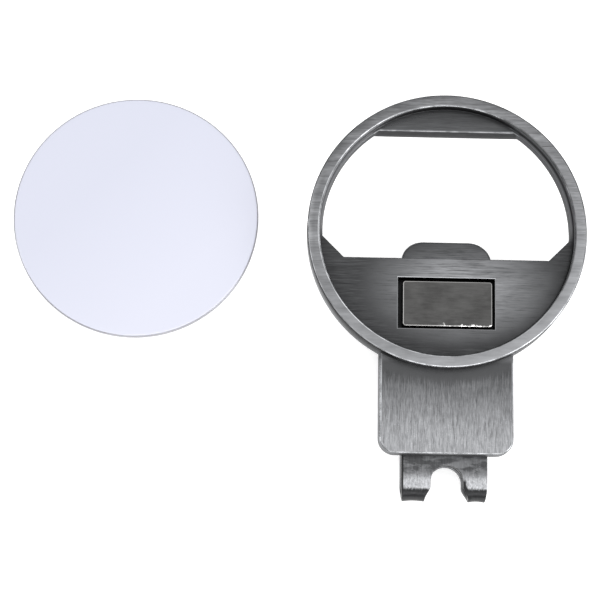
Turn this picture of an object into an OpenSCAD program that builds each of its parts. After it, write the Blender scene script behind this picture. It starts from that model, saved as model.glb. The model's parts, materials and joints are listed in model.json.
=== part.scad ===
// Hat-brim clip with a bottle-opener ring, a magnet and a loose ball marker.
// Everything lies on z = 0 with its face up. +Y runs from the spring fold to the ring.
// Plan positions below are measured from the ring's centre.

/* [Ring] */
// Outside radius of the ring
ring_r = 19; // [18.6:0.05:20]
// Front-to-back depth of the ring
ring_depth = 4.3; // [3.8:0.1:5]
// Radius of the recess that seats the marker
recess_r = 17.3; // [17.2:0.05:17.6]
// Depth of the recess below the rim
recess_depth = 1.5; // [1.5:0.05:1.7]
// Radius of the through opening inside the ledge
opening_r = 16.9; // [16.5:0.05:17.1]
// Chamfer along the ring's edges
ring_edge = 0.2; // [0.1:0.05:0.3]
// How much the ring widens from its rim to its back
ring_draft = 0; // [0:0.05:0.3]

/* [Opener] */
// Height of the upper lip's straight edge above the ring's centre
lip_y = 14.05; // [13:0.05:15]
// Height of the web's top edge (negative is below the centre)
web_top_y = -3.77; // [-4.5:0.01:-3]
// Half length of the web's straight top edge
web_half_w = 13.97; // [13:0.01:15]
// How far the tooth stands above the web's top edge
tooth_h = 2.55; // [1.8:0.05:2.6]
// Radius of the tooth's two round shoulders
tooth_corner_r = 3; // [2.7:0.1:3.4]
// Half distance between the centres of the two shoulders
tooth_half_w = 3.1; // [2.5:0.05:4]
// How far the tooth's front face falls from root to tip
tooth_fall = 1.1; // [0.6:0.1:1.4]

/* [Magnet] */
// Length, width and thickness of the magnet
magnet_size = [12.25, 6.3, 1.6];
// Length and width of its pocket
pocket_size = [13.2, 7.05];
// Depth of the pocket below the web's face
pocket_depth = 2; // [1.9:0.1:2.2]
// Height of the pocket's centre
pocket_y = -9.95; // [-11:0.01:-9]
// Thickness of the glue bed under the magnet
glue_t = 0.25; // [0.1:0.05:0.25]

/* [Tab] */
// Width of the tab
tab_w = 18.1; // [16:0.1:20]
// Height of the tab's lower edge
tab_bottom_y = -30.4; // [-33:0.05:-29]
// Thickness of the tab
tab_t = 2.4; // [2:0.1:2.7]
// Radius of the tab's lower corners
tab_corner_r = 2.2; // [1:0.1:4]

/* [Spring clip] */
// Width of the spring strip
strip_w = 11.6; // [10:0.1:14]
// Thickness of the spring strip
strip_t = 1; // [0.8:0.05:1.1]
// Outside radius of the fold
fold_r = 1.9; // [1.8:0.05:2.1]
// Height of the fold's lowest edge
fold_bottom_y = -36.3; // [-38:0.1:-36]
// Height of the leaf's free end
leaf_end_y = -4; // [-6:0.5:-3.5]
// How far the leaf bows up towards the frame
leaf_bow = 1.1; // [0.6:0.1:1.2]
// Radius of the arch at the end of the slot through the fold
slot_r = 2.2; // [1.8:0.1:2.5]
// Height of the slot's upper end
slot_top_y = -31.6; // [-33:0.1:-31.5]
// How far the slot sits off the strip's middle
slot_x = 0.35; // [-0.4:0.05:0.4]
// Half width of the slot at the bottom of the fold
slot_foot_half_w = 3; // [2.5:0.1:3.5]

/* [Posts] */
// Radius of the two posts that hold the strip
post_r = 1.2; // [1:0.1:1.5]
// Half distance between the posts
post_half_gap = 3.3; // [3:0.1:4]
// Height of the posts' centres
post_y = -25; // [-28:0.1:-24]
// Radius of the peened heads
post_head_r = 1.75; // [1.6:0.05:1.9]
// Height of the peened heads
post_head_h = 0.4; // [0.2:0.05:0.4]

/* [Ball marker] */
// Radius of the marker
marker_r = 17; // [16.5:0.05:17.1]
// Thickness of the marker's steel disc
marker_t = 1.2; // [1:0.05:1.2]
// Thickness of the white face on top of the disc
marker_face_t = 0.2; // [0.1:0.05:0.25]
// Width of the steel edge left bare around the face
marker_bare_w = 0.15; // [0.1:0.05:0.4]
// Distance from the ring's centre to the marker's centre, along X and Y
marker_offset = [-42.7, 2.6];

/* [Hidden] */
$fn = 96;

overlap = 0.5;                  // how far features run into each other before they are joined
far = 30;                       // longer than any feature, for cutting shapes
back_z = 2 * fold_r;            // plane of the frame's back
front_z = back_z + ring_depth;  // plane of the rim
floor_z = front_z - recess_depth;
ledge_t = 1.4;                  // thickness of the ledge at the opening
ledge_back_z = floor_z - ledge_t;
wall_mid_r = (ring_r + recess_r) / 2;
fold_y = fold_bottom_y + fold_r;      // the fold's centre line
mount_leaf_gap = 0.3;           // split between the two halves of the strip, which lets the joint turn
mount_leaf_top_y = -20.6;
post_clearance = 0.05;
leaf_corner_r = 3;
leaf_steps = 24;                // straight pieces along the bowed leaf
magnet_shift = [0.18, -0.04];   // the magnet sits a little off the pocket's centre
magnet_corner_r = 0.4;
marker_edge = 0.25;
ring_back_r = ring_r + ring_draft;
ring_x = (marker_r - marker_offset.x - ring_back_r) / 2;                 // centres the set on x = 0
ring_y = -(fold_bottom_y + max(ring_back_r, marker_offset.y + marker_r)) / 2;   // and on y = 0

module at_ring() translate([ring_x, ring_y, 0]) children();

module rounded_rect(w, h, r) {
    square([w - 2 * r, h], center = true);
    square([w, h - 2 * r], center = true);
    for (x = [-1, 1], y = [-1, 1]) translate([x * (w / 2 - r), y * (h / 2 - r)]) circle(r);
}

// A slab with the outline of its children between two heights
module slab(z0, z1) translate([0, 0, z0]) linear_extrude(z1 - z0) children();

module ring_wall() rotate_extrude($fn = 180) polygon([
    [opening_r, ledge_back_z],
    [opening_r + 1, back_z],
    [ring_back_r - ring_edge, back_z],
    [ring_back_r, back_z + ring_edge],
    [ring_r, front_z - ring_edge],
    [ring_r - ring_edge, front_z],
    [recess_r + ring_edge, front_z],
    [recess_r, front_z - ring_edge],
    [recess_r, floor_z],
    [opening_r, floor_z]
]);

// The lower half of the ring is closed, with 45 degree corners up to the wall
module web_outline() intersection() {
    circle(wall_mid_r);
    polygon([
        [-far, -far], [-far, web_top_y + far - web_half_w],
        [-web_half_w, web_top_y], [web_half_w, web_top_y],
        [far, web_top_y + far - web_half_w], [far, -far]
    ]);
}

module lip_outline() intersection() {
    circle(wall_mid_r);
    translate([-far, lip_y]) square([2 * far, far]);
}

module tooth() {
    tip_y = web_top_y + tooth_h;
    shoulder_y = tip_y - tooth_corner_r;
    intersection() {
        slab(back_z, floor_z) {
            for (side = [-1, 1]) translate([side * tooth_half_w, shoulder_y]) circle(tooth_corner_r);
            translate([-tooth_half_w, shoulder_y]) square([2 * tooth_half_w, tooth_corner_r]);
        }
        translate([-far, 0, 0]) rotate([90, 0, 90]) linear_extrude(2 * far) polygon([
            [web_top_y - overlap, back_z], [tip_y, back_z + overlap],
            [tip_y, floor_z - tooth_fall], [web_top_y, floor_z - 0.1], [web_top_y - overlap, floor_z - 0.1]
        ]);
    }
}

module tab_outline() {
    top_y = -sqrt(wall_mid_r * wall_mid_r - tab_w * tab_w / 4);
    translate([0, (top_y + tab_bottom_y) / 2]) {
        h = top_y - tab_bottom_y;
        translate([-tab_w / 2, -h / 2 + tab_corner_r]) square([tab_w, h - tab_corner_r]);
        translate([0, -h / 2 + tab_corner_r / 2])
            square([tab_w - 2 * tab_corner_r, tab_corner_r], center = true);
        for (side = [-1, 1])
            translate([side * (tab_w / 2 - tab_corner_r), -h / 2 + tab_corner_r]) circle(tab_corner_r);
    }
    intersection() {
        circle(wall_mid_r);
        translate([-tab_w / 2, -far]) square([tab_w, far + top_y + overlap]);
    }
}

module posts() for (side = [-1, 1]) translate([side * post_half_gap, post_y, 0]) {
    translate([0, 0, back_z - strip_t]) cylinder(h = strip_t + overlap, r = post_r);
    translate([0, 0, back_z - strip_t - post_head_h])
        cylinder(h = post_head_h, r1 = post_head_r - post_head_h, r2 = post_head_r);
}

module frame() color([0.46, 0.46, 0.47]) at_ring() {
    difference() {
        union() {
            ring_wall();
            slab(back_z, floor_z) web_outline();
            slab(back_z, floor_z) lip_outline();
            tooth();
            slab(back_z, back_z + tab_t) tab_outline();
        }
        translate([0, pocket_y, floor_z - pocket_depth])
            slab(0, far) square(pocket_size, center = true);
    }
    posts();
}

module magnet() color([0.36, 0.35, 0.35]) at_ring()
    translate([magnet_shift.x, pocket_y + magnet_shift.y, floor_z - pocket_depth + glue_t])
        slab(0, magnet_size.z) rounded_rect(magnet_size.x, magnet_size.y, magnet_corner_r);

module magnet_glue() color([0.85, 0.83, 0.75]) at_ring()
    translate([magnet_shift.x, pocket_y + magnet_shift.y, floor_z - pocket_depth])
        slab(0, glue_t) rounded_rect(magnet_size.x - 1, magnet_size.y - 1, magnet_corner_r);

// Seen from the front: an arch that opens out at the bottom of the fold
module slot_outline() translate([slot_x, 0]) {
    arch_y = slot_top_y - slot_r;
    translate([0, arch_y]) circle(slot_r);
    polygon([
        [-slot_r, arch_y], [slot_r, arch_y], [slot_r, fold_y - 0.3],
        [slot_foot_half_w, fold_bottom_y], [slot_foot_half_w, fold_bottom_y - far],
        [-slot_foot_half_w, fold_bottom_y - far], [-slot_foot_half_w, fold_bottom_y],
        [-slot_r, fold_y - 0.3]
    ]);
}

module clip_mount_leaf() color([0.55, 0.55, 0.57]) at_ring() {
    foot_y = fold_y + mount_leaf_gap;
    slab(back_z - strip_t, back_z) difference() {
        translate([-strip_w / 2, foot_y]) square([strip_w, mount_leaf_top_y - foot_y]);
        slot_outline();
        for (side = [-1, 1]) translate([side * post_half_gap, post_y]) circle(post_r + post_clearance);
    }
}

// Height of the leaf's middle, from the fold (u = 0) to the free end (u = 1)
function leaf_mid_z(u) = strip_t / 2 + leaf_bow * 27 / 4 * u * u * (1 - u);

module leaf_profile() {
    us = [for (i = [0 : leaf_steps]) i / leaf_steps];
    function at(u, side) = [fold_y + u * (leaf_end_y - fold_y), leaf_mid_z(u) + side * strip_t / 2];
    polygon(concat([for (u = us) at(u, -1)], [for (i = [leaf_steps : -1 : 0]) at(us[i], 1)]));
    intersection() {
        translate([fold_y, fold_r]) difference() {
            circle(fold_r);
            circle(fold_r - strip_t);
        }
        translate([fold_y - far, 0]) square([far, far]);
    }
}

module clip_spring_leaf() color([0.55, 0.55, 0.57]) at_ring() difference() {
    intersection() {
        translate([-far, 0, 0]) rotate([90, 0, 90]) linear_extrude(2 * far) leaf_profile();
        slab(-1, far) translate([0, (leaf_end_y + fold_bottom_y - leaf_corner_r) / 2])
            rounded_rect(strip_w, leaf_end_y - fold_bottom_y + leaf_corner_r, leaf_corner_r);
    }
    slab(-1, far) slot_outline();
}

module at_marker() at_ring() translate([marker_offset.x, marker_offset.y, 0]) children();

module marker_disc() color([0.78, 0.78, 0.8]) at_marker() rotate_extrude($fn = 180) polygon([
    [0, 0], [marker_r - marker_edge, 0], [marker_r, marker_edge],
    [marker_r, marker_t - marker_edge / 2], [marker_r - marker_edge / 2, marker_t], [0, marker_t]
]);

module marker_face() color([0.92, 0.92, 0.97]) at_marker() translate([0, 0, marker_t])
    rotate_extrude($fn = 180) polygon([
        [0, 0], [marker_r - marker_bare_w, 0],
        [marker_r - marker_bare_w - marker_face_t / 2, marker_face_t], [0, marker_face_t]
    ]);

frame();
magnet();
magnet_glue();
clip_mount_leaf();
clip_spring_leaf();
marker_disc();
marker_face();
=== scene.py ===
"""Looks of a golf hat clip with a bottle opener, a magnet and a loose ball marker.

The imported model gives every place: the ring's centre and recess come from the marker_recess mount, the
fold from the clip_flex joint and the rest from the nodes' boxes. Shapes are built in millimetres from
the ring's centre and turned into metres by place().
"""
import json
import math
from types import SimpleNamespace

import bmesh
import bpy
import numpy as np
from mathutils import Matrix, Vector


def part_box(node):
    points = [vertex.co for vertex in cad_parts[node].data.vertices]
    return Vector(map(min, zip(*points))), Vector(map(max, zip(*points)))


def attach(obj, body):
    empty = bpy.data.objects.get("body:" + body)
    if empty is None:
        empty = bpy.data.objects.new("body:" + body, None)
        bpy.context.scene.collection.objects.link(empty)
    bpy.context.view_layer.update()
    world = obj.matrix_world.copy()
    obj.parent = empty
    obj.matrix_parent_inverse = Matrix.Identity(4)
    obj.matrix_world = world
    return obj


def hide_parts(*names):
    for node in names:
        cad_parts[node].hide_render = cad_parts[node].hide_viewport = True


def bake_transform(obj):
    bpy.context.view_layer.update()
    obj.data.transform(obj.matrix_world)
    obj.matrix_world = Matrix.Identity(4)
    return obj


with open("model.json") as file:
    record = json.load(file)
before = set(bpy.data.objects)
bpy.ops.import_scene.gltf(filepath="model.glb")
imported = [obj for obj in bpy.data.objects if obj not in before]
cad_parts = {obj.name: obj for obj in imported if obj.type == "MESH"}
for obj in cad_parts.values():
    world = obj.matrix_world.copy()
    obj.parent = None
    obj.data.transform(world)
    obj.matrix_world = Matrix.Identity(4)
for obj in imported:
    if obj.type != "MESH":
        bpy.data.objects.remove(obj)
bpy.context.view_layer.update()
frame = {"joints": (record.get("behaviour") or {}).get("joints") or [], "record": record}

MM = 0.001
MOUNTS = {m["name"]: m for m in frame["record"]["mounts"]}
JOINTS = {j["name"]: j for j in frame["joints"]}
RING = Vector((MOUNTS["marker_recess"]["pos_m"][0], MOUNTS["marker_recess"]["pos_m"][1], 0))


def node_box(name):
    """Lowest and highest corner of a CAD node in millimetres from the ring's centre."""
    low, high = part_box(name)
    return (low - RING) / MM, (high - RING) / MM


frame_low, frame_high = node_box("frame")
magnet_low, magnet_high = node_box("magnet")
glue_low, glue_high = node_box("magnet_glue")
mount_low, mount_high = node_box("clip_mount_leaf")
_, leaf_high = node_box("clip_spring_leaf")
disc_low, disc_high = node_box("marker_disc")
face_low, face_high = node_box("marker_face")

# Casting, in millimetres from the ring's centre
FRONT_Z = frame_high.z
BACK_Z = mount_high.z
RECESS_R = MOUNTS["marker_recess"]["dims"]["r_mm"]
FLOOR_Z = FRONT_Z - 1.5
RING_R = frame_high.y
OPENING_R = RECESS_R - 0.4
LEDGE_BACK_Z = FLOOR_Z - 1.4
WALL_MID_R = (RING_R + RECESS_R) / 2
WEB_TOP_Y = -3.77
WEB_HALF_W = 13.97
LIP_Y = 14.05
TOOTH_TIP_Y = WEB_TOP_Y + 2.55
TOOTH_R = 3.0
TOOTH_HALF_W = 3.1
TOOTH_FALL = 1.1
TOOTH_BACK_RISE = 0.3
TAB_HALF_W = 9.05
TAB_TOP_Y = -16.0
TAB_BOTTOM_Y = frame_low.y
TAB_FRONT_Z = BACK_Z + 2.4
TAB_CORNER_R = 2.2
POCKET_Y = -9.95
POCKET_W, POCKET_H, POCKET_DEPTH = 13.2, 7.05, 2.0
POCKET_CHAMFER, POCKET_CHAMFER_DROP = 0.17, 0.08
POST_X, POST_Y, POST_R = 3.3, -25.0, 1.2
POST_HEAD_R, POST_HEAD_T = 1.75, 0.4

# Radii of the casting's rounded edges
WEB_EDGE_R, LIP_EDGE_R, TOOTH_EDGE_R, TAB_EDGE_R = 0.14, 0.34, 0.32, 0.38
BACK_EDGE_R, TAB_BACK_EDGE_R = 0.2, 0.25
TAB_EDGE_SHIFT = 0.12

# Small steps that keep solids from sharing a face where they are joined
FRONT_STEP, BACK_STEP = 0.002, 0.005

# Spring strip
FOLD_Y = (Vector(JOINTS["clip_flex"]["pos_m"]) - RING).y / MM
FOLD_R = JOINTS["clip_flex"]["pos_m"][2] / MM
STRIP_T = mount_high.z - mount_low.z
STRIP_HALF_W = leaf_high.x
STRIP_END_R, LEAF_TIP_R = 0.5, 3.0
STRIP_EDGE_R = 0.15
LEAF_END_Y = leaf_high.y
LEAF_BOW = 1.1
SLOT_X, SLOT_R, SLOT_TOP_Y, SLOT_FOOT_HALF_W = 0.35, 2.2, -31.6, 3.0
LEG_CUP = 0.12
FOLD_NARROWING = 0.03

# Magnet, its glue and the marker
MAGNET_CORNER_R, MAGNET_EDGE_R, MAGNET_BACK_EDGE_R = 0.45, 0.24, 0.13
GLUE_CORNERS_R, GLUE_EDGE_R = (1.2, 0.8, 1.4, 1.0), 0.08
DISC_BACK_EDGE_R, DISC_FRONT_EDGE_R = 0.3, 0.2
ENAMEL_SINK, ENAMEL_CROWN = 0.02, 0.03

# Shares of red, green and blue in the metals, and directions in x and y along which the painted light and
# shade on the casting change
COOL_TINT, WARM_TINT, BLUE_TINT = (0.975, 0.99, 1.025), (1.01, 1.0, 0.985), (0.98, 0.98, 1.06)
LOWER_RIGHT, UPPER_LEFT, LEFT = (0.5, -0.866), (-0.8, 0.6), (-1.0, 0.25)
STROKE_DEPTH_M = 0.02 * MM
SHARP_ANGLE = math.radians(35)


# ---------------------------------------------------------------- mesh tools

def arc(cx, cy, r, start, end, n):
    """n + 1 points on a circle, angles in degrees."""
    angles = [math.radians(start + (end - start) * i / n) for i in range(n + 1)]
    return [(cx + r * math.cos(a), cy + r * math.sin(a)) for a in angles]


def rounded(corners, steps=5):
    """Closed outline through (x, y, radius) corners, each rounded with an arc of that radius."""
    out = []
    count = len(corners)
    for i, (x, y, radius) in enumerate(corners):
        p = np.array((x, y), float)
        to_prev = np.array(corners[i - 1][:2]) - p
        to_next = np.array(corners[(i + 1) % count][:2]) - p
        to_prev /= np.linalg.norm(to_prev)
        to_next /= np.linalg.norm(to_next)
        if radius == 0:
            out.append(tuple(p))
            continue
        half = math.acos(np.clip(to_prev @ to_next, -1, 1)) / 2
        middle = (to_prev + to_next) / np.linalg.norm(to_prev + to_next)
        centre = p + middle * radius / math.sin(half)
        first = p + to_prev * radius / math.tan(half) - centre
        last = p + to_next * radius / math.tan(half) - centre
        turn = math.atan2(first[0] * last[1] - first[1] * last[0], first @ last)
        for k in range(steps + 1):
            a = turn * k / steps
            c, s = math.cos(a), math.sin(a)
            out.append((centre[0] + c * first[0] - s * first[1], centre[1] + s * first[0] + c * first[1]))
    return out


def rounded_box(low, high, radii):
    """The outline of a box seen from the front, with those corner radii from its lower left corner on."""
    corners = ((low.x, low.y), (high.x, low.y), (high.x, high.y), (low.x, high.y))
    return rounded([(x, y, r) for (x, y), r in zip(corners, radii)], 8)


def inset(outline, d):
    """The outline moved inwards by d. It runs anticlockwise."""
    p = np.array(outline, float)
    along = np.roll(p, -1, 0) - p
    along /= np.linalg.norm(along, axis=1)[:, None]
    inward = np.stack([-along[:, 1], along[:, 0]], 1)
    before = np.roll(inward, 1, 0)
    miter = (before + inward) / (1 + (before * inward).sum(1))[:, None]
    return p + miter * d


def new_object(name, verts, faces):
    """An object from lists of points and faces."""
    mesh = bpy.data.meshes.new(name)
    mesh.from_pydata([tuple(v) for v in verts], [], faces)
    mesh.update()
    obj = bpy.data.objects.new(name, mesh)
    bpy.context.scene.collection.objects.link(obj)
    return obj


def slab(name, outline, z0, z1, top_r, bottom_r, steps=4):
    """A plate with rounded edges on its top and bottom."""
    levels = []
    for k in range(steps + 1 if bottom_r else 1):
        a = math.pi / 2 * k / steps
        levels.append((bottom_r * (1 - math.sin(a)), z0 + bottom_r * (1 - math.cos(a))))
    for k in range(steps + 1 if top_r else 1):
        a = math.pi / 2 * k / steps
        levels.append((top_r * (1 - math.cos(a)), z1 - top_r * (1 - math.sin(a))))
    n = len(outline)
    verts = [(x, y, z) for d, z in levels for x, y in inset(outline, d)]
    faces = [tuple(reversed(range(n))), tuple(range((len(levels) - 1) * n, len(levels) * n))]
    for level in range(len(levels) - 1):
        for i in range(n):
            j = (i + 1) % n
            faces.append((level * n + i, level * n + j, (level + 1) * n + j, (level + 1) * n + i))
    return new_object(name, verts, faces)


def lathe(name, profile, segments):
    """A closed (radius, height) profile turned about Z."""
    n = len(profile)
    verts, faces = [], []
    for s in range(segments):
        a = 2 * math.pi * s / segments
        verts += [(r * math.cos(a), r * math.sin(a), z) for r, z in profile]
    for s in range(segments):
        t = (s + 1) % segments
        for i in range(n):
            j = (i + 1) % n
            faces.append((s * n + i, t * n + i, t * n + j, s * n + j))
    return new_object(name, verts, faces)


def capped_lathe(name, profile, segments):
    """An open profile from axis to axis, turned about Z; its end points lie on the axis."""
    body = profile[1:-1]
    n = len(body)
    verts, faces = [], []
    for s in range(segments):
        a = 2 * math.pi * s / segments
        verts += [(r * math.cos(a), r * math.sin(a), z) for r, z in body]
    low, high = len(verts), len(verts) + 1
    verts += [(0, 0, profile[0][1]), (0, 0, profile[-1][1])]
    for s in range(segments):
        t = (s + 1) % segments
        faces.append((low, t * n, s * n))
        for i in range(n - 1):
            faces.append((s * n + i, t * n + i, t * n + i + 1, s * n + i + 1))
        faces.append((high, s * n + n - 1, t * n + n - 1))
    return new_object(name, verts, faces)


def at_posts(name, profile, segments):
    """A capped lathe at each of the two posts' places."""
    made = []
    for side in (-1, 1):
        obj = capped_lathe(name, profile, segments)
        obj.data.transform(Matrix.Translation((side * POST_X, POST_Y, 0)))
        made.append(obj)
    return made


def join_solids(base, tools, operation):
    """Unites the tools with base, or cuts them from it, and removes them."""
    for tool in tools:
        modifier = base.modifiers.new("join", "BOOLEAN")
        modifier.operation = operation
        modifier.solver = "MANIFOLD"
        modifier.object = tool
        bpy.context.view_layer.update()
        result = bpy.data.meshes.new_from_object(base.evaluated_get(bpy.context.evaluated_depsgraph_get()))
        base.modifiers.clear()
        base.data = result
        bpy.data.objects.remove(tool)


def smooth(obj):
    """Smooth shading with sharp edges kept, and normals led by the large faces."""
    obj.data.polygons.foreach_set("use_smooth", [True] * len(obj.data.polygons))
    obj.data.set_sharp_from_angle(angle=SHARP_ANGLE)
    normals = obj.modifiers.new("weighted_normals", "WEIGHTED_NORMAL")
    normals.keep_sharp = True
    normals.weight = 100


def place(obj, body, *nodes, slot, material, offset=(0, 0, 0)):
    """Turns a piece from millimetres into the frame, hangs it on the body it rides on, if one is given, and
    hides the CAD nodes it stands for.
    """
    obj.data.transform(Matrix.Translation(RING) @ Matrix.Scale(MM, 4) @ Matrix.Translation(offset))
    obj.data.materials.clear()
    obj.data.materials.append(material)
    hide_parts(*nodes)
    if body:
        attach(obj, body)


# ---------------------------------------------------------------- shader tools

class Shader:
    """Small helper that builds one material's nodes."""

    def __init__(self, name):
        self.material = bpy.data.materials.new(name)
        self.material.use_nodes = True
        self.tree = self.material.node_tree
        self.bsdf = self.tree.nodes["Principled BSDF"]

    def node(self, kind, **settings):
        made = self.tree.nodes.new(kind)
        for key, value in settings.items():
            setattr(made, key, value)
        return made

    def put(self, socket, value):
        if isinstance(value, bpy.types.NodeSocket):
            self.tree.links.new(value, socket)
        else:
            socket.default_value = value

    def math(self, operation, *values):
        made = self.node("ShaderNodeMath", operation=operation)
        for socket, value in zip(made.inputs, values):
            self.put(socket, value)
        return made.outputs[0]

    def add(self, a, b):
        return self.math("ADD", a, b)

    def minus(self, a, b):
        return self.math("SUBTRACT", a, b)

    def times(self, *values):
        out = values[0]
        for value in values[1:]:
            out = self.math("MULTIPLY", out, value)
        return out

    def size(self, value):
        return self.math("ABSOLUTE", value)

    def most(self, a, b):
        return self.math("MAXIMUM", a, b)

    def length(self, a, b):
        return self.math("SQRT", self.add(self.times(a, a), self.times(b, b)))

    def ramp(self, value, low, high, to_low=0.0, to_high=1.0, smooth_step=True):
        """value from low..high to to_low..to_high, held at the ends. low may be above high."""
        made = self.node("ShaderNodeMapRange", interpolation_type="SMOOTHSTEP" if smooth_step else "LINEAR")
        for socket, number in zip(made.inputs, (value, low, high, to_low, to_high)):
            self.put(socket, number)
        return made.outputs[0]

    def lerp(self, share, a, b):
        """a where share is 0, b where it is 1."""
        made = self.node("ShaderNodeMix", data_type="FLOAT")
        for socket, value in zip((made.inputs[0], made.inputs[2], made.inputs[3]), (share, a, b)):
            self.put(socket, value)
        return made.outputs[0]

    def mix(self, share, a, b):
        """Colour a where share is 0, colour b where it is 1."""
        made = self.node("ShaderNodeMix", data_type="RGBA")
        for socket, value in zip((made.inputs[0], made.inputs[6], made.inputs[7]), (share, a, b)):
            self.put(socket, value)
        return made.outputs[2]

    def toward(self, x, y, direction):
        """How far the point lies in a direction across the part."""
        return self.add(self.times(x, direction[0]), self.times(y, direction[1]))

    def tinted(self, value, tint):
        """A colour of that brightness with a slight tint."""
        made = self.node("ShaderNodeCombineColor")
        for socket, part in zip(made.inputs, tint):
            self.put(socket, self.times(value, part))
        return made.outputs[0]

    def facing(self):
        """How far the surface faces up in the piece's own frame, from -1 to 1."""
        split = self.node("ShaderNodeSeparateXYZ")
        self.put(split.inputs[0], self.node("ShaderNodeTexCoord").outputs["Normal"])
        return split.outputs[2]

    def place_mm(self):
        """The point on the piece in millimetres from the ring's centre, and its x, y and z."""
        coordinates = self.node("ShaderNodeTexCoord").outputs["Object"]
        mapping = self.node("ShaderNodeMapping", vector_type="TEXTURE")
        mapping.inputs["Location"].default_value = tuple(RING)
        mapping.inputs["Scale"].default_value = (MM, MM, MM)
        self.put(mapping.inputs["Vector"], coordinates)
        split = self.node("ShaderNodeSeparateXYZ")
        self.put(split.inputs[0], mapping.outputs[0])
        return mapping.outputs[0], split.outputs[0], split.outputs[1], split.outputs[2]

    def noise(self, vector, scale, stretch=(1, 1, 1), turn=0, detail=4.0, roughness=0.55):
        """Noise from 0 to 1, scaled along x, y and z by stretch and turned about z by that many degrees."""
        mapping = self.node("ShaderNodeMapping")
        mapping.inputs["Scale"].default_value = stretch
        mapping.inputs["Rotation"].default_value = (0, 0, math.radians(turn))
        self.put(mapping.inputs["Vector"], vector)
        made = self.node("ShaderNodeTexNoise")
        made.inputs["Scale"].default_value = scale
        made.inputs["Detail"].default_value = detail
        made.inputs["Roughness"].default_value = roughness
        self.put(made.inputs["Vector"], mapping.outputs[0])
        return made.outputs["Fac"]

    def bump(self, height, strength, distance=STROKE_DEPTH_M):
        made = self.node("ShaderNodeBump")
        made.inputs["Strength"].default_value = strength
        made.inputs["Distance"].default_value = distance
        self.put(made.inputs["Height"], height)
        self.put(self.bsdf.inputs["Normal"], made.outputs[0])

    def set(self, **values):
        """Sets the surface's own sockets, with _ for a space in their names."""
        for name, value in values.items():
            self.put(self.bsdf.inputs[name.replace("_", " ")], value)
        return self.material


def grey(value):
    return (value, value, value, 1)


def strokes(s, point, direction, long=0.18):
    """Belt strokes along "x" or "y", from about -1 to 1. A smaller long makes them longer."""
    across = 4.0
    stretch = (long, across, across) if direction == "x" else (across, long, across)
    tilt = 2.0 if direction == "x" else 0.6
    coarse = s.noise(point, 1.0, stretch, tilt, detail=4, roughness=0.85)
    cross = s.noise(point, 1.9, stretch, -1.5 * tilt, detail=2, roughness=0.7)
    blend = s.add(s.times(coarse, 0.6), s.times(cross, 0.4))
    return s.times(s.minus(blend, 0.5), 6.5)


def varied(s, value, stroke, depth):
    """The brightness with strokes of that depth in it."""
    return s.times(value, s.add(1.0, s.times(stroke, depth)))


# ---------------------------------------------------------------- the casting's material

def casting_point(s):
    """The place, tilt and wear patterns that the casting's tones are made from, with the places of its
    painted light: a painted glint at the rim's left, and the side towards the upper left that painted light
    makes brighter.
    """
    point, x, y, z = s.place_mm()
    smear = s.noise(point, 0.5, (0.35, 1.3, 1), 12, detail=4, roughness=0.65)
    return SimpleNamespace(
        point=point, x=x, y=y, z=z, radius=s.length(x, y), up=s.facing(),
        stroke_x=strokes(s, point, "x"), stroke_y=strokes(s, point, "y", 0.36),
        mottle=s.noise(point, 0.7, detail=5), smear=s.minus(smear, 0.5),
        # left_glint is a painted highlight at the rim's left; lit_side grows towards the upper left, where
        # painted light brightens the walls and weakens the painted shade
        left_glint=s.times(s.ramp(x, -15.5, -17.5), s.ramp(s.size(s.minus(y, 2)), 7, 3)),
        lit_side=s.toward(x, y, UPPER_LEFT))


def rim_tone(s, p):
    """The brushed rim, with painted light: brighter towards its lower right, its outer half more so there
    and its inner half towards the upper left, and a painted glint at its left.
    """
    # painted light: the rim gets brighter towards its lower right
    low = s.toward(p.x, p.y, LOWER_RIGHT)
    tone = s.ramp(low, -18.4, 18.4, 0.15, 0.275, smooth_step=False)
    # painted light as on a crowned face: the outer half brighter towards the lower right, the inner half
    # towards the upper left
    crown_light = s.times(s.minus(p.radius, WALL_MID_R), low)
    tone = s.add(tone, s.times(crown_light, 0.0028))
    tone = s.add(tone, s.times(p.smear, 0.26))
    # a painted glint on the rim's outer half at the left
    tone = s.add(tone, s.times(p.left_glint, s.ramp(p.radius, WALL_MID_R, RING_R - 0.2, 0.01, 0.09)))
    return varied(s, tone, p.stroke_x, s.ramp(p.y, 6, -14, 0.48, 0.10))


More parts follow.
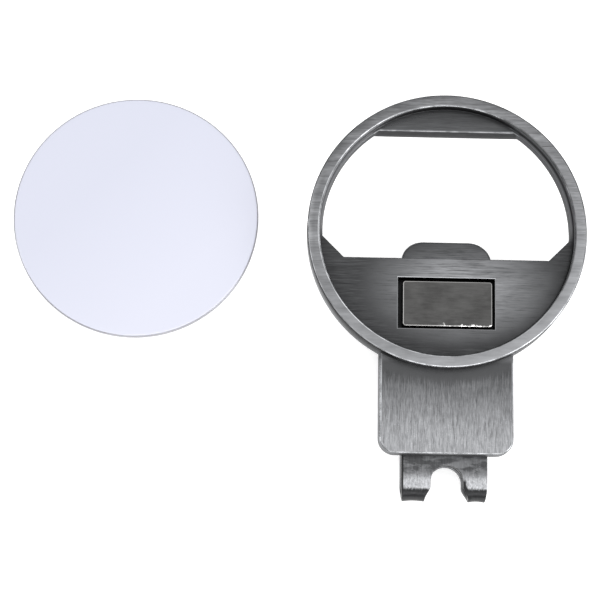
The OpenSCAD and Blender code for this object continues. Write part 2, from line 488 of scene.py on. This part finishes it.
def web_tone(s, p):
    """The web with its brushed patch, the tooth, the ledge beside the opening and the upper lip, with
    painted shade close to the ring's wall.
    """
    patch_x, patch_y, patch_stretch = 2.0, -7.5, 1.6
    reach = s.length(s.minus(p.x, patch_x), s.times(s.minus(p.y, patch_y), patch_stretch))
    reach = s.add(reach, s.times(p.stroke_x, 2.4))
    brushed = s.times(s.ramp(reach, 13.6, 5.5, smooth_step=False), s.ramp(p.y, 0.5, -0.5))
    bright = s.add(varied(s, 0.195, p.stroke_x, 0.62), s.times(p.smear, 0.18))
    on_lip = s.ramp(p.y, LIP_Y - 1, LIP_Y - 0.5)
    dark = s.lerp(on_lip, 0.056, s.ramp(p.y, 16.5, LIP_Y, 0.062, 0.088))
    dark = varied(s, dark, p.stroke_x, s.lerp(on_lip, 0.5, 0.3))
    # painted shade: the web and the lip get darker close to the ring's wall
    ring_wall_shade = s.ramp(p.radius, RECESS_R - 2.2, RECESS_R - 0.2, 1.0, s.lerp(on_lip, 0.79, 0.96))
    tone = s.times(s.lerp(brushed, dark, bright), ring_wall_shade)
    ledge = s.times(s.ramp(p.y, -1.5, 1.0), s.ramp(p.y, LIP_Y, LIP_Y - 0.5))
    tone = s.lerp(ledge, tone, s.ramp(p.x, -12, 12, 0.18, 0.135))
    on_tooth = s.times(s.ramp(p.y, WEB_TOP_Y - 0.1, WEB_TOP_Y + 0.3),
                       s.ramp(p.y, TOOTH_TIP_Y + 1.0, TOOTH_TIP_Y + 0.5),
                       s.ramp(s.size(p.x), 6.6, 6.3))
    return s.times(tone, s.lerp(on_tooth, 1.0, 0.82))


def tab_tone(s, p):
    """The tab's brushed front, dark under the ring, where a painted shadow of the rim lies, and brighter
    towards its end.
    """
    grit = s.ramp(s.noise(p.point, 3.8, detail=2, roughness=0.8), 0.56, 0.72)
    tone = s.ramp(p.y, -19.0, -28.0, 0.07, 0.30, smooth_step=False)
    tone = s.add(varied(s, tone, p.stroke_y, 0.5), s.times(p.smear, 0.08))
    tone = s.add(tone, s.times(grit, s.ramp(p.y, -21, -29, 0.015, 0.10)))
    # painted shadow of the rim across the tab's top, with a ragged edge
    rim_shadow_edge = s.add(p.radius, s.times(p.stroke_y, 0.3))
    return s.lerp(s.ramp(rim_shadow_edge, 20.0, 21.5), 0.078, tone)


def inner_wall_tone(s, p):
    """Walls inside the ring, with painted light that makes them brighter at the upper left, and the lip's
    wall.
    """
    # painted light: the recess wall brighter towards the upper left
    tone = s.lerp(s.ramp(p.z, FLOOR_Z - 0.1, FLOOR_Z + 0.2), 0.10, s.ramp(p.lit_side, 11, 17, 0.1, 0.28))
    lip_wall = s.times(s.ramp(s.size(s.minus(p.y, LIP_Y)), 0.4, 0.1), s.ramp(s.size(p.x), 9.9, 9.6))
    return s.lerp(lip_wall, tone, s.ramp(p.z, FLOOR_Z - 1.4, BACK_Z + 0.6, 0.05, 0.085))


def outer_wall_tone(s, p, tab):
    """The ring's outer wall, with a painted reflection that makes it dark under the rim and brighter
    towards its foot, the more so at the left, and the tab's sides.
    """
    # painted reflection: dark under the rim, bright at the foot
    top, foot = s.ramp(p.x, -8, 6, 0.02, 0.12), s.ramp(p.x, -18, -12, 0.42, 0.19)
    tone = s.lerp(s.ramp(p.z, FRONT_Z - 0.7, BACK_Z + 0.8, smooth_step=False), top, foot)
    return s.times(s.lerp(tab, tone, 0.22), s.ramp(p.mottle, 0.3, 0.7, 0.9, 1.15))


def rim_edge_tone(s, p, outside):
    """The rim's worn inner and outer edges, with painted highlights: the inner edge brighter towards the
    left and the bottom, the outer edge brighter towards the bottom and most at the lower right, and a
    painted glint on the outer edge at the left.
    """
    # painted highlights on the inner edge, brighter towards the left and the bottom
    inner = s.add(s.ramp(s.toward(p.x, p.y, LEFT), -8, 4, 0.14, 0.36),
                  s.times(s.ramp(p.y, 16, -4, 0, 0.2), s.ramp(p.x, -4, -12)))
    inner = s.add(inner, s.ramp(p.y, -4, -14, 0, 0.2))
    # painted highlight on the outer edge, brighter towards the bottom and most at the lower right
    outer = s.ramp(p.y, 9, -9, 0.15, s.ramp(p.x, -15, -4, 0.28, 0.47))
    outer = s.add(outer, s.times(p.left_glint, 0.2))
    return s.lerp(outside, inner, outer)


def casting_material():
    """Antique nickel: dark where no belt reaches, brushed bright where one does, bare on worn edges.
    Painted light and shade lie on it as well: on the rim, its walls and its edges, on the web near the
    ring's wall, on the tab under the ring, round the pocket's mouth, inside the pocket and in the recess's
    corner.
    """
    s = Shader("antique_nickel")
    p = casting_point(s)
    rim = s.ramp(p.z, FLOOR_Z + 0.7, FLOOR_Z + 1.1)
    tab = s.ramp(p.y, -17.3, -18.2)
    web = s.times(s.ramp(p.radius, RECESS_R + 0.1, RECESS_R - 0.1),
                  s.ramp(p.z, FLOOR_Z - 1.3, FLOOR_Z - 1.0))
    outside = s.ramp(p.radius, RECESS_R + 0.5, RECESS_R + 1.2)

    web_or_tab = s.lerp(tab, s.lerp(web, 0.15, web_tone(s, p)), tab_tone(s, p))
    faces = s.lerp(rim, web_or_tab, rim_tone(s, p))
    walls = s.lerp(s.most(outside, tab), inner_wall_tone(s, p), outer_wall_tone(s, p, tab))
    value = s.lerp(s.ramp(p.up, 0.80, 0.90), walls, faces)
    back = varied(s, s.ramp(p.mottle, 0.3, 0.7, 0.16, 0.26), p.stroke_y, 0.3)
    value = s.lerp(s.ramp(p.up, -0.6, -0.9), value, back)

    crest = s.times(s.ramp(p.up, 0.992, 0.955), s.ramp(p.up, s.lerp(outside, 0.25, 0.5), 0.72))
    sparkle = s.ramp(p.mottle, 0.35, 0.62, 0.6, 1.1)
    lip = s.times(s.ramp(p.y, LIP_Y - 0.6, LIP_Y - 0.4), s.ramp(s.size(p.x), 10.1, 9.9),
                  s.ramp(p.z, FLOOR_Z + 0.6, FLOOR_Z + 0.4), s.ramp(p.y, LIP_Y + 1.1, LIP_Y + 0.7))
    tab_edge_tone = s.ramp(p.y, -28, -30, 0.42, 0.33)
    # the rim's worn edges, with painted highlights on them
    value = s.lerp(s.times(crest, rim), value, s.times(rim_edge_tone(s, p, outside), sparkle))
    tab_edge = s.times(crest, tab, s.ramp(p.radius, 19.3, 19.8))
    value = s.lerp(tab_edge, value, s.times(sparkle, tab_edge_tone))
    value = s.lerp(s.times(crest, lip), value, s.times(sparkle, 0.28))

    pocket_area = s.times(
        s.ramp(s.size(p.x), POCKET_W / 2 + 0.3, POCKET_W / 2 + 0.2),
        s.ramp(s.size(s.minus(p.y, POCKET_Y)), POCKET_H / 2 + 0.3, POCKET_H / 2 + 0.2))
    pocket_edge = s.times(s.ramp(p.up, 0.99, 0.95), s.ramp(p.up, 0.1, 0.3), pocket_area)
    # the pocket's rounded mouth, bright all round and brightest along its upper edge, a painted highlight
    value = s.lerp(pocket_edge, value, s.ramp(p.y, POCKET_Y + 3.3, POCKET_Y + 3.6, 0.24, 0.5))
    # painted shade inside the pocket, weaker on its left wall
    in_pocket = s.times(pocket_area, s.ramp(p.z, FLOOR_Z - 0.08, FLOOR_Z - 0.16),
                        s.ramp(p.z, BACK_Z + 0.3, BACK_Z + 0.5))
    value = s.times(value, s.lerp(in_pocket, 1.0, s.ramp(p.x, -6.3, -6.5, 0.1, 0.35)))
    # painted shade in the corner at the foot of the recess wall, weaker towards the upper left
    recess_corner_shade = s.times(s.ramp(p.radius, RECESS_R - 0.18, RECESS_R - 0.04),
                            s.ramp(p.z, FLOOR_Z + 0.9, FLOOR_Z + 0.5),
                            s.ramp(p.radius, RECESS_R + 0.5, RECESS_R + 0.2))
    value = s.times(value, s.lerp(recess_corner_shade, 1.0, s.ramp(p.lit_side, 9, 16, 0.65, 0.85)))

    worn = s.times(crest, s.most(rim, tab))
    rough = s.lerp(worn, s.add(0.38, s.times(s.minus(p.mottle, 0.5), 0.25)), 0.24)
    s.bump(s.lerp(tab, p.stroke_x, p.stroke_y), 0.12)
    return s.set(Base_Color=s.tinted(value, COOL_TINT), Metallic=1.0, Roughness=rough,
                 Specular_Tint=grey(0.5))


# ---------------------------------------------------------------- the other materials

def strip_material():
    """Blackened spring steel, rubbed bright in a band just above the fold, with painted shade on the faces
    of its front part that turn away from the front, along its left edge and beside the slot.
    """
    s = Shader("antique_spring_steel")
    point, x, y, z = s.place_mm()
    up = s.facing()
    stroke = strokes(s, point, "y", 0.36)
    mottle = s.noise(point, 1.1, detail=5)
    ragged = s.noise(point, 3.2, (1.5, 0.8, 1), detail=3, roughness=0.7)
    smudge = s.ramp(s.noise(point, 0.55, (0.6, 1.6, 1), detail=4, roughness=0.7), 0.42, 0.6)
    value = varied(s, s.add(0.075, s.times(smudge, 0.095)), stroke, 0.3)

    band_low, band_high = -35.05, -34.55
    edge_y = s.add(y, s.times(s.minus(ragged, 0.5), 0.7))
    front = s.times(s.ramp(z, 2.3, 2.8), s.ramp(y, -30, -30.5))
    band = s.times(front, s.ramp(y, -32.4, -33.8), s.ramp(edge_y, band_low, band_high))
    value = s.lerp(band, value, varied(s, s.ramp(ragged, 0.3, 0.62, 0.28, 0.52), stroke, 0.25))
    folded = s.times(s.ramp(edge_y, band_high, band_low), s.ramp(z, 0.6, 1.0))
    value = s.lerp(folded, value, varied(s, s.ramp(y, -35.6, -36.2, 0.03, 0.065), stroke, 0.3))

    # painted shade: on the front part, faces that turn away from the front, a band along the left edge and
    # one along the slot's right edge go nearly black
    left_edge_shade = s.ramp(x, 0.34 - STRIP_HALF_W, 0.22 - STRIP_HALF_W)
    from_slot = s.minus(x, s.ramp(y, -34, -36, SLOT_R, SLOT_FOOT_HALF_W))
    slot_edge_shade = s.times(s.ramp(x, 0.5, 1.2), s.ramp(from_slot, SLOT_X + 0.5, SLOT_X + 0.25),
                        s.ramp(y, -33.2, -33.9))
    sides = s.most(s.ramp(s.size(up), 0.7, 0.35), s.most(left_edge_shade, slot_edge_shade))
    value = s.lerp(s.times(sides, s.ramp(z, 0.5, 1.0)), value, 0.03)
    back = s.times(s.ramp(z, 2.3, 1.9), s.ramp(y, -35.2, -34.0))
    value = s.lerp(back, value, varied(s, s.ramp(mottle, 0.3, 0.7, 0.14, 0.22), stroke, 0.2))
    s.bump(stroke, 0.12)
    return s.set(Base_Color=s.tinted(value, COOL_TINT), Metallic=1.0,
                 Roughness=s.ramp(mottle, 0.2, 0.8, 0.3, 0.42))


def magnet_material():
    """Nickel plating gone dull, with painted highlights on its rounded edges and a broken painted highlight
    along the front one.
    """
    s = Shader("nickel_magnet")
    point, x, y, _ = s.place_mm()
    up = s.facing()
    haze = s.noise(point, 0.3, detail=3)
    scuff = s.minus(s.noise(point, 1.6, (0.35, 2.4, 1), 28, detail=4, roughness=0.65), 0.5)
    highlight_break = s.noise(point, 1.5, (1.0, 0.5, 1), 40, detail=4, roughness=0.7)
    value = s.add(s.ramp(haze, 0.35, 0.65, 0.064, 0.086), s.times(scuff, 0.06))
    # painted highlights on the rounded edges, dimmer near the front edge
    bevel = s.times(s.ramp(up, 0.99, 0.95), s.ramp(up, 0.2, 0.5))
    value = s.lerp(bevel, value, s.ramp(y, magnet_low.y + 0.6, magnet_low.y + 0.2, 0.42, 0.29))
    # a painted highlight along the right part of the front edge, broken by noise
    above = s.minus(y, magnet_low.y)
    highlight_reach = s.times(s.minus(highlight_break, 0.5), 2.7)
    front_edge_highlight = s.times(s.ramp(s.minus(above, highlight_reach), 0.16, 0.06),
                     s.ramp(x, -1.2, 0.6), s.ramp(up, 0.3, 0.6))
    value = s.lerp(front_edge_highlight, value, 0.9)
    s.bump(scuff, 0.1)
    return s.set(Base_Color=s.tinted(value, WARM_TINT), Metallic=1.0,
                 Roughness=s.lerp(bevel, s.ramp(haze, 0.3, 0.7, 0.26, 0.34), 0.2))


def glue_material():
    """Clear set glue with bubbles in it."""
    s = Shader("set_glue")
    point, _, _, _ = s.place_mm()
    bubbles = s.noise(point, 3.0, detail=3)
    s.bump(bubbles, 0.3, 0.05 * MM)
    colour = s.mix(s.ramp(bubbles, 0.4, 0.6), (0.35, 0.31, 0.22, 1), (0.5, 0.46, 0.36, 1))
    return s.set(Base_Color=colour, Roughness=0.35)


def marker_steel_material():
    """Bright brushed steel."""
    s = Shader("marker_steel")
    point, _, _, _ = s.place_mm()
    stroke = strokes(s, point, "x")
    value = varied(s, 0.31, stroke, 0.15)
    s.bump(stroke, 0.1)
    return s.set(Base_Color=s.tinted(value, BLUE_TINT), Metallic=1.0, Roughness=0.3)


def marker_white_material():
    """Glossy bluish white enamel with a faint peel, and painted light that makes it slightly brighter
    towards the lower right.
    """
    s = Shader("marker_white_enamel")
    point, x, y, _ = s.place_mm()
    # painted light: the enamel brighter towards the lower right
    across = s.ramp(s.minus(x, y), -55, -30, smooth_step=False)
    peel = s.noise(point, 1.1, detail=2)
    colour = s.mix(across, (0.512, 0.525, 0.612, 1), (0.556, 0.567, 0.655, 1))
    s.bump(peel, 0.03, 0.03 * MM)
    return s.set(Base_Color=colour, Roughness=0.16, Coat_Weight=0.4, Coat_Roughness=0.05)


def floor_material():
    """A pale matt floor with a slight glow of its own."""
    s = Shader("pale_floor")
    coordinates = s.node("ShaderNodeTexCoord").outputs["Object"]
    grain = s.noise(coordinates, 60.0, detail=3)
    return s.set(Base_Color=s.mix(grain, grey(0.93), grey(0.95)), Roughness=0.8,
                 Emission_Color=grey(1.0), Emission_Strength=0.4)


# ---------------------------------------------------------------- pieces

def build_ring():
    """The ring with its recess, and the ledge round the opening."""
    recess_floor_z = FLOOR_Z - 2 * FRONT_STEP
    profile = rounded([  # radius, height, corner radius
        (OPENING_R, LEDGE_BACK_Z, 0.1), (OPENING_R + 1.0, BACK_Z, 0.15),
        (RING_R, BACK_Z, 0.3), (RING_R, FRONT_Z, 0.28),
        (RECESS_R, FRONT_Z, 0.36), (RECESS_R, recess_floor_z, 0.06), (OPENING_R, recess_floor_z, 0.12)])
    return lathe("casting", profile, 256)


def build_web():
    """The web below the opening. Its corners slant up at 45 degrees into the ring's wall."""
    along = (-(WEB_HALF_W + WEB_TOP_Y) + math.sqrt(2 * WALL_MID_R ** 2 - (WEB_HALF_W - WEB_TOP_Y) ** 2)) / 2
    start = math.degrees(math.atan2(WEB_TOP_Y + along, WEB_HALF_W + along))
    outline = [(WEB_HALF_W, WEB_TOP_Y), (-WEB_HALF_W, WEB_TOP_Y)]
    outline += arc(0, 0, WALL_MID_R, 180 - start, 360 + start, 120)
    return slab("web", outline, BACK_Z + 3 * BACK_STEP, FLOOR_Z, WEB_EDGE_R, BACK_EDGE_R)


def build_lip():
    start = math.degrees(math.asin(LIP_Y / WALL_MID_R))
    outline = arc(0, 0, WALL_MID_R, start, 180 - start, 60)
    return slab("lip", outline, BACK_Z + 2 * BACK_STEP, FLOOR_Z - FRONT_STEP, LIP_EDGE_R, BACK_EDGE_R)


def build_tooth():
    """The opener's tooth, which gets thinner towards its tip."""
    shoulder_y = TOOTH_TIP_Y - TOOTH_R
    base_y = WEB_TOP_Y - 0.3
    side = math.degrees(math.asin((base_y - shoulder_y) / TOOTH_R))
    outline = arc(TOOTH_HALF_W, shoulder_y, TOOTH_R, side, 90, 20)
    outline += arc(-TOOTH_HALF_W, shoulder_y, TOOTH_R, 90, 180 - side, 20)
    front_z = FLOOR_Z - 3 * FRONT_STEP
    tooth = slab("tooth", outline, BACK_Z + 4 * BACK_STEP, front_z, TOOTH_EDGE_R, BACK_EDGE_R)
    for v in tooth.data.vertices:
        t = (v.co.y - base_y) / (TOOTH_TIP_Y - base_y)
        v.co.z -= TOOTH_FALL * t if v.co.z > (BACK_Z + FLOOR_Z) / 2 else -TOOTH_BACK_RISE * t
    return tooth


def build_tab():
    outline = rounded([(-TAB_HALF_W, TAB_TOP_Y, 0), (-TAB_HALF_W, TAB_BOTTOM_Y, TAB_CORNER_R),
                       (TAB_HALF_W, TAB_BOTTOM_Y, TAB_CORNER_R), (TAB_HALF_W, TAB_TOP_Y, 0)], 12)
    tab = slab("tab", outline, BACK_Z + BACK_STEP, TAB_FRONT_Z, TAB_EDGE_R, TAB_BACK_EDGE_R, 5)
    for v in tab.data.vertices:
        v.co.x += TAB_EDGE_SHIFT * max(v.co.z - TAB_FRONT_Z + TAB_EDGE_R, 0) / TAB_EDGE_R
    return tab


def build_posts():
    """The two posts on the tab's back, peened over the strip."""
    head_z = BACK_Z - STRIP_T
    tip_z = head_z - POST_HEAD_T
    root_z = BACK_Z + 0.5
    return at_posts("post", [
        (0, tip_z), (POST_HEAD_R - 0.75, tip_z), (POST_HEAD_R - 0.3, head_z - 0.3),
        (POST_HEAD_R, head_z - 0.05), (POST_HEAD_R, head_z), (POST_R, head_z),
        (POST_R, root_z), (0, root_z)], 40)


def build_pocket_cutter():
    """The magnet's pocket, which opens outwards at its mouth."""
    half_w, half_h = POCKET_W / 2, POCKET_H / 2
    levels = [(0, FLOOR_Z - POCKET_DEPTH), (0, FLOOR_Z - POCKET_CHAMFER_DROP), (POCKET_CHAMFER, FLOOR_Z),
              (3 * POCKET_CHAMFER, FLOOR_Z + 2 * POCKET_CHAMFER_DROP)]
    verts, faces = [], [(3, 2, 1, 0), tuple(range(12, 16))]
    for grow, height in levels:
        verts += [(sx * (half_w + grow), POCKET_Y + sy * (half_h + grow), height)
                  for sx, sy in ((-1, -1), (1, -1), (1, 1), (-1, 1))]
    for level in range(3):
        for i in range(4):
            j = (i + 1) % 4
            faces.append((level * 4 + i, level * 4 + j, (level + 1) * 4 + j, (level + 1) * 4 + i))
    return new_object("pocket", verts, faces)


def build_casting():
    casting = build_ring()
    join_solids(casting, [build_web(), build_lip(), build_tooth(), build_tab()] + build_posts(), "UNION")
    join_solids(casting, [build_pocket_cutter()], "DIFFERENCE")
    smooth(casting)
    place(casting, "clip", "frame", slot="antique_casting", material=casting_material())


def strip_place(s):
    """The strip's middle line at length s from its fixed end.

    It gives (y, z), the outward normal and how bent the strip is there, from 0 to 1.
    """
    straight = mount_high.y - FOLD_Y
    mid_r = FOLD_R - STRIP_T / 2
    if s <= straight:
        return (mount_high.y - s, BACK_Z - STRIP_T / 2), (0.0, 1.0), 0.0
    if s < straight + math.pi * mid_r:
        turn = (s - straight) / mid_r
        n = (-math.sin(turn), math.cos(turn))
        return (FOLD_Y + mid_r * n[0], FOLD_R + mid_r * n[1]), n, math.sin(turn)
    length = LEAF_END_Y - FOLD_Y
    u = (s - straight - math.pi * mid_r) / length
    bow = LEAF_BOW * 27 / 4  # u * u * (1 - u) is at most 4 / 27
    slope = bow * (2 * u - 3 * u * u) / length
    size = math.hypot(slope, 1)
    return (FOLD_Y + u * length, STRIP_T / 2 + bow * u * u * (1 - u)), (slope / size, -1 / size), 0.0


def strip_rows():
    """Cross rows of the flat strip's right half, in (x, s).

    Each row is (inner point, inner normal or None, outer point, outer normal). The inner normal is None
    where the row starts on the strip's middle line and not at the slot.
    """
    straight = mount_high.y - FOLD_Y
    fold = math.pi * (FOLD_R - STRIP_T / 2)
    total = straight + fold + LEAF_END_Y - FOLD_Y
    middle = straight + fold / 2
    slot_top = mount_high.y - SLOT_TOP_Y
    arch = slot_top + SLOT_R
    clear_of_slot = STRIP_EDGE_R + 0.4
    end_r, tip_r, half = STRIP_END_R, LEAF_TIP_R, STRIP_HALF_W
    rows = []

    def full(s):
        rows.append(((0, s), None, (half, s), (1, 0)))

    def slot_half(s):
        """Half width of the slot beside the fold, where it opens towards the fold's outside."""
        y = strip_place(s)[0][0]
        t = min(max((FOLD_Y - y) / (FOLD_R - STRIP_T / 2), 0), 1)
        return SLOT_R + (SLOT_FOOT_HALF_W - SLOT_R) * t * t * (3 - 2 * t)

    for k in range(7):
        a = math.radians(90 - 15 * k)
        rows.append(((0, end_r - (end_r - STRIP_EDGE_R) * math.sin(a)), None,
                     (half - end_r + end_r * math.cos(a), end_r - end_r * math.sin(a)),
                     (math.cos(a), -math.sin(a))))
    for s in np.linspace(end_r + 0.5, slot_top - clear_of_slot, 24):
        full(s)
    slot = []
    for k in range(13):
        a = math.radians(7.5 * k)
        slot.append(((SLOT_R * math.sin(a), arch - SLOT_R * math.cos(a)), (math.sin(a), -math.cos(a))))
    for s in np.linspace(arch + 0.15, middle, 20):
        slot.append(((slot_half(s), s), (1, 0)))
    slot += [((x, 2 * middle - s), (n[0], -n[1])) for (x, s), n in reversed(slot[:-1])]
    for point, n in slot:
        rows.append((point, n, (half, point[1] + n[1] * STRIP_EDGE_R), (1, 0)))
    for s in np.linspace(2 * middle - slot_top + clear_of_slot, total - tip_r - 0.4, 48):
        full(s)
    for k in range(13):
        a = math.radians(7.5 * k)
        rows.append(((0, total - tip_r + (tip_r - STRIP_EDGE_R) * math.sin(a)), None,
                     (half - tip_r + tip_r * math.cos(a), total - tip_r + tip_r * math.sin(a)),
                     (math.cos(a), math.sin(a))))
    return rows


def build_strip_mesh():
    """The strip's two halves, each a skin laid over the rows and closed at its ends."""
    columns, steps = 8, 4
    core = STRIP_T / 2 - STRIP_EDGE_R
    edge_angles = [math.pi * k / (2 * steps) for k in range(2 * steps + 1)]
    edge_count = len(edge_angles)
    plain = 2 * columns + edge_count
    shift_width = STRIP_HALF_W - SLOT_FOOT_HALF_W - 0.3
    rows = strip_rows()
    bm = bmesh.new()

    def point(side, x, s, t, leg):
        """A point at x across, s along and t out from the middle of the metal; leg runs from -1 to 1."""
        (y, z), n, bend = strip_place(s)
        t += LEG_CUP * bend * (leg * leg - 0.5)
        shift = SLOT_X * min(1, max(0, (STRIP_HALF_W - x) / shift_width))
        x = side * x * (1 - FOLD_NARROWING * bend * (0.5 + t / STRIP_T))
        return bm.verts.new((x + shift, y + n[0] * t, z + n[1] * t))

    def edge_points(side, p, n, leg, angles):
        """Points round a rounded edge whose outermost line is p; n points out of the metal."""
        made = []
        for a in angles:
            back = STRIP_EDGE_R * (1 - math.sin(a))
            height = math.copysign(core, math.cos(a)) if abs(math.cos(a)) > 1e-9 else 0
            t = height + STRIP_EDGE_R * math.cos(a)
            made.append(point(side, p[0] - n[0] * back, p[1] - n[1] * back, t, leg))
        return made

    def face_points(side, start, stop, at_slot, order, t):
        """Points across one of the strip's faces, from start towards stop."""
        made = []
        for c in order:
            k = c / columns
            leg = 2 * k - 1 if at_slot else k
            made.append(point(side, start[0] + (stop[0] - start[0]) * k, start[1], t, leg))
        return made

    def close_end(side, loop, start, stop, outer, direction):
        """Closes the strip's square or tip end with a rounded edge."""
        caps = [loop[columns:columns + edge_count]]
        for c in reversed(range(columns)):
            x = start[0] + (stop[0] - start[0]) * c / columns
            end = [loop[c]] + edge_points(side, (x, outer[1]), (0, direction), 1, edge_angles[1:-1])
            end.append(loop[plain - 1 - c])
            caps.append(end)
        for p, q in zip(caps, caps[1:]):
            for i in range(edge_count - 1):
                bm.faces.new((p[i], p[i + 1], q[i + 1], q[i]))

    for side in (1, -1):
        last = None
        for number, (inner, inner_n, outer, outer_n) in enumerate(rows):
            at_slot = inner_n is not None
            start = inner
            if at_slot:
                start = (inner[0] + inner_n[0] * STRIP_EDGE_R, inner[1] + inner_n[1] * STRIP_EDGE_R)
            stop = (outer[0] - outer_n[0] * STRIP_EDGE_R, outer[1] - outer_n[1] * STRIP_EDGE_R)
            loop = face_points(side, start, stop, at_slot, range(columns), STRIP_T / 2)
            loop += edge_points(side, outer, outer_n, 1, edge_angles)
            loop += face_points(side, start, stop, at_slot, reversed(range(columns)), -STRIP_T / 2)
            if at_slot:
                loop += edge_points(side, inner, (-inner_n[0], -inner_n[1]), -1, edge_angles[-2:0:-1])
            if last:
                pairs = [(i, i + 1) for i in range(plain - 1)]
                if at_slot and len(last) == len(loop):
                    pairs = [(i, (i + 1) % len(loop)) for i in range(len(loop))]
                for i, j in pairs:
                    bm.faces.new((last[i], last[j], loop[j], loop[i]))
            if number in (0, len(rows) - 1):
                close_end(side, loop, start, stop, outer, -1 if number == 0 else 1)
            last = loop
    bmesh.ops.remove_doubles(bm, verts=bm.verts, dist=0.0005)
    bmesh.ops.recalc_face_normals(bm, faces=bm.faces)
    mesh = bpy.data.meshes.new("spring_strip")
    bm.to_mesh(mesh)
    bm.free()
    return mesh


def build_strip():
    strip = bpy.data.objects.new("spring_strip", build_strip_mesh())
    bpy.context.scene.collection.objects.link(strip)
    hole_r, low_z, high_z = POST_R + 0.05, BACK_Z - STRIP_T - 0.4, BACK_Z + 0.4
    hole = [(0, low_z), (hole_r, low_z), (hole_r, high_z), (0, high_z)]
    join_solids(strip, at_posts("hole", hole, 48), "DIFFERENCE")
    smooth(strip)
    place(strip, None, "clip_mount_leaf", "clip_spring_leaf", slot="spring_strip",
          material=strip_material())
    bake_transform(strip)


def build_magnet():
    outline = rounded_box(magnet_low, magnet_high, [MAGNET_CORNER_R] * 4)
    magnet = slab("block_magnet", outline, magnet_low.z, magnet_high.z, MAGNET_EDGE_R, MAGNET_BACK_EDGE_R)
    smooth(magnet)
    place(magnet, "clip", "magnet", slot="magnet_plate", material=magnet_material())
    outline = rounded_box(glue_low, glue_high, GLUE_CORNERS_R)
    glue = slab("glue_bed", outline, glue_low.z, glue_high.z, GLUE_EDGE_R, 0.0)
    smooth(glue)
    place(glue, "clip", "magnet_glue", slot="glue", material=glue_material())


def build_marker():
    """The marker's steel disc, and the enamel face that stands on it."""
    centre = (disc_low + disc_high) / 2
    r, t = (disc_high.x - disc_low.x) / 2, disc_high.z
    back, front = DISC_BACK_EDGE_R, DISC_FRONT_EDGE_R
    profile = [(0, 0), (r - back, 0)]
    profile += [(r - back + back * math.sin(a), back - back * math.cos(a))
                for a in np.linspace(0.2, math.pi / 2, 6)]
    profile += [(r - front + front * math.cos(a), t - front + front * math.sin(a))
                for a in np.linspace(0, math.pi / 2, 6)]
    profile += [(0, t)]
    disc = capped_lathe("marker_steel_disc", profile, 256)
    smooth(disc)
    place(disc, "marker", "marker_disc", slot="marker_steel", material=marker_steel_material(),
          offset=(centre.x, centre.y, 0))
    face_r, face_t = (face_high.x - face_low.x) / 2, face_high.z - face_low.z
    edge_t = face_t - ENAMEL_CROWN
    profile = [(0, t - ENAMEL_SINK), (face_r, t - ENAMEL_SINK), (face_r, t)]
    profile += [(face_r - face_t * (1 - math.cos(a)), t + edge_t * math.sin(a))
                for a in np.linspace(0.2, math.pi / 2, 6)]
    profile += [(face_r * k, t + face_t - ENAMEL_CROWN * k ** 8) for k in (0.97, 0.9, 0.8, 0.6, 0.4, 0.2)]
    profile += [(0, t + face_t)]
    face = capped_lathe("marker_white_face", profile, 256)
    smooth(face)
    place(face, "marker", "marker_face", slot="marker_white", material=marker_white_material(),
          offset=(centre.x, centre.y, 0))


# ---------------------------------------------------------------- scene

def build_camera():
    """A camera a quarter of a metre from the part, leaning towards the strip's fold."""
    distance = 0.25
    tilt, yaw, roll = math.radians(11.56), math.radians(-0.96), math.radians(0.93)
    target = Vector((0.51, -1.86, FRONT_Z)) * MM
    towards = Vector((math.sin(yaw) * math.cos(tilt), -math.sin(tilt), math.cos(yaw) * math.cos(tilt)))
    level = Vector((0, 1, 0)).cross(towards).normalized()
    upright = towards.cross(level)
    right = level * math.cos(roll) + upright * math.sin(roll)
    up = upright * math.cos(roll) - level * math.sin(roll)
    data = bpy.data.cameras.new("camera")
    data.sensor_width = 36
    data.lens = 111.75
    camera = bpy.data.objects.new("camera", data)
    bpy.context.scene.collection.objects.link(camera)
    turned = Matrix((right, up, towards)).transposed().to_4x4()
    camera.matrix_world = Matrix.Translation(target + towards * distance) @ turned
    bpy.context.scene.camera = camera


def area_light(name, place_m, size, power):
    """A rectangular light that points at the middle of the set."""
    data = bpy.data.lights.new(name, "AREA")
    data.shape = "RECTANGLE"
    data.size, data.size_y = size
    data.energy = power
    light = bpy.data.objects.new(name, data)
    bpy.context.scene.collection.objects.link(light)
    light.location = place_m
    light.rotation_euler = (-Vector(place_m)).to_track_quat("-Z", "Y").to_euler()


def build_world():
    """A studio dome: bright overhead, dark towards the horizon."""
    low_z, high_z, dark, bright = 0.05, 0.75, 0.12, 1.42
    world = bpy.data.worlds.new("studio")
    world.use_nodes = True
    tree = world.node_tree
    direction = tree.nodes.new("ShaderNodeTexCoord")
    split = tree.nodes.new("ShaderNodeSeparateXYZ")
    ramp = tree.nodes.new("ShaderNodeMapRange")
    ramp.interpolation_type = "SMOOTHSTEP"
    for socket, number in zip(list(ramp.inputs)[1:5], (low_z, high_z, dark, bright)):
        socket.default_value = number
    tree.nodes["Background"].inputs["Color"].default_value = grey(1.0)
    tree.links.new(direction.outputs["Generated"], split.inputs[0])
    tree.links.new(split.outputs[2], ramp.inputs[0])
    tree.links.new(ramp.outputs[0], tree.nodes["Background"].inputs["Strength"])
    bpy.context.scene.world = world


def build_stage():
    floor = new_object("floor", [(-1, -1, 0), (1, -1, 0), (1, 1, 0), (-1, 1, 0)], [(0, 1, 2, 3)])
    floor.data.materials.append(floor_material())
    build_world()
    area_light("softbox_front", (0.05, -0.55, 0.30), (0.6, 0.16), 1.1)
    area_light("softbox_right", (0.50, -0.30, 0.34), (0.3, 0.3), 1.3)
    area_light("softbox_left", (-0.60, -0.05, 0.26), (0.16, 0.4), 0.5)
    bpy.context.scene.view_settings.view_transform = "Standard"


build_camera()
build_casting()
build_strip()
build_magnet()
build_marker()
build_stage()
